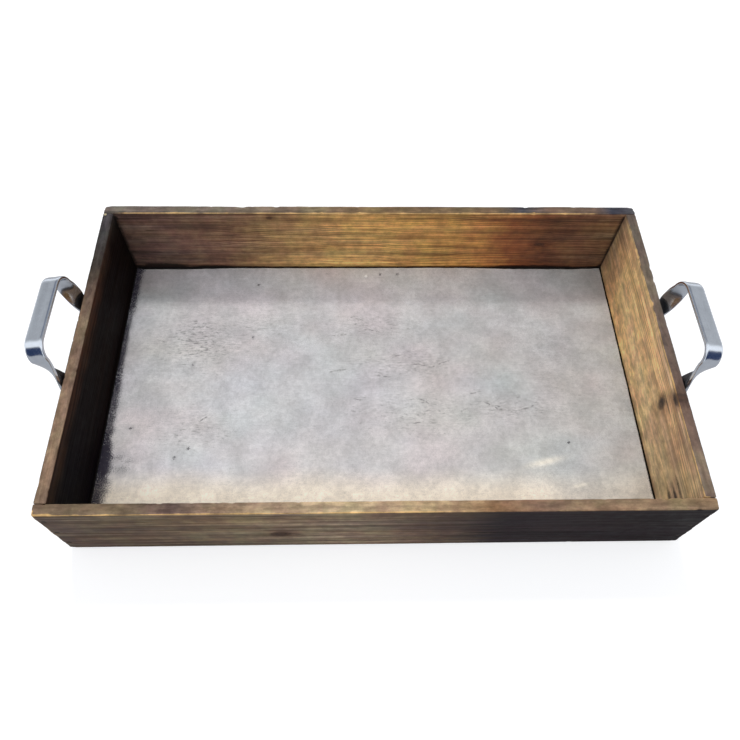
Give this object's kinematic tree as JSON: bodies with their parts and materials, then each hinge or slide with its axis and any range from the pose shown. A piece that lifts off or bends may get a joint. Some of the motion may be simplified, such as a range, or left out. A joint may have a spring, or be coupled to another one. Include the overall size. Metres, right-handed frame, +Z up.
{
  "type": "serving tray",
  "caption": "Rectangular rustic wooden serving tray with a sheet-metal floor and raised metal strap handles on its short ends.",
  "frame": {"origin": "centre of the underside of the base panel, on which the tray stands", "axes": "+X along the tray towards the right-hand handle, +Y from the front board to the back board, +Z up"},
  "size_m": [0.5454, 0.304, 0.1242],
  "materials": {
    "stained_pine": "brown-stained pine, open grain, rubbed bare along the edges",
    "plywood": "plain unfinished plywood",
    "galvanised_sheet": "dull grey galvanised sheet, mottled and scratched",
    "polished_aluminium": "polished",
    "zinc_plated_steel": "zinc plated, satin",
    "nail_steel": "dark oxidised wire nails",
    "bright_tack_steel": "bright",
    "pin_brass": "worn brass"
  },
  "bodies": {
    "root": {"front_board": "stained_pine", "back_board": "stained_pine", "left_board": "stained_pine", "right_board": "stained_pine", "base_panel": "plywood", "floor_sheet": "galvanised_sheet", "left_handle": "polished_aluminium", "right_handle": "polished_aluminium", "left_handle_screws": "zinc_plated_steel", "right_handle_screws": "zinc_plated_steel", "front_left_corner_nails": "nail_steel", "front_right_corner_nails": "nail_steel", "back_left_corner_nails": "nail_steel", "back_right_corner_nails": "nail_steel", "front_panel_nails": "nail_steel", "back_panel_nails": "nail_steel", "left_panel_nails": "nail_steel", "right_panel_nails": "nail_steel", "floor_sheet_tacks": "bright_tack_steel", "back_left_top_pin": "pin_brass"}
  },
  "joints": []
}
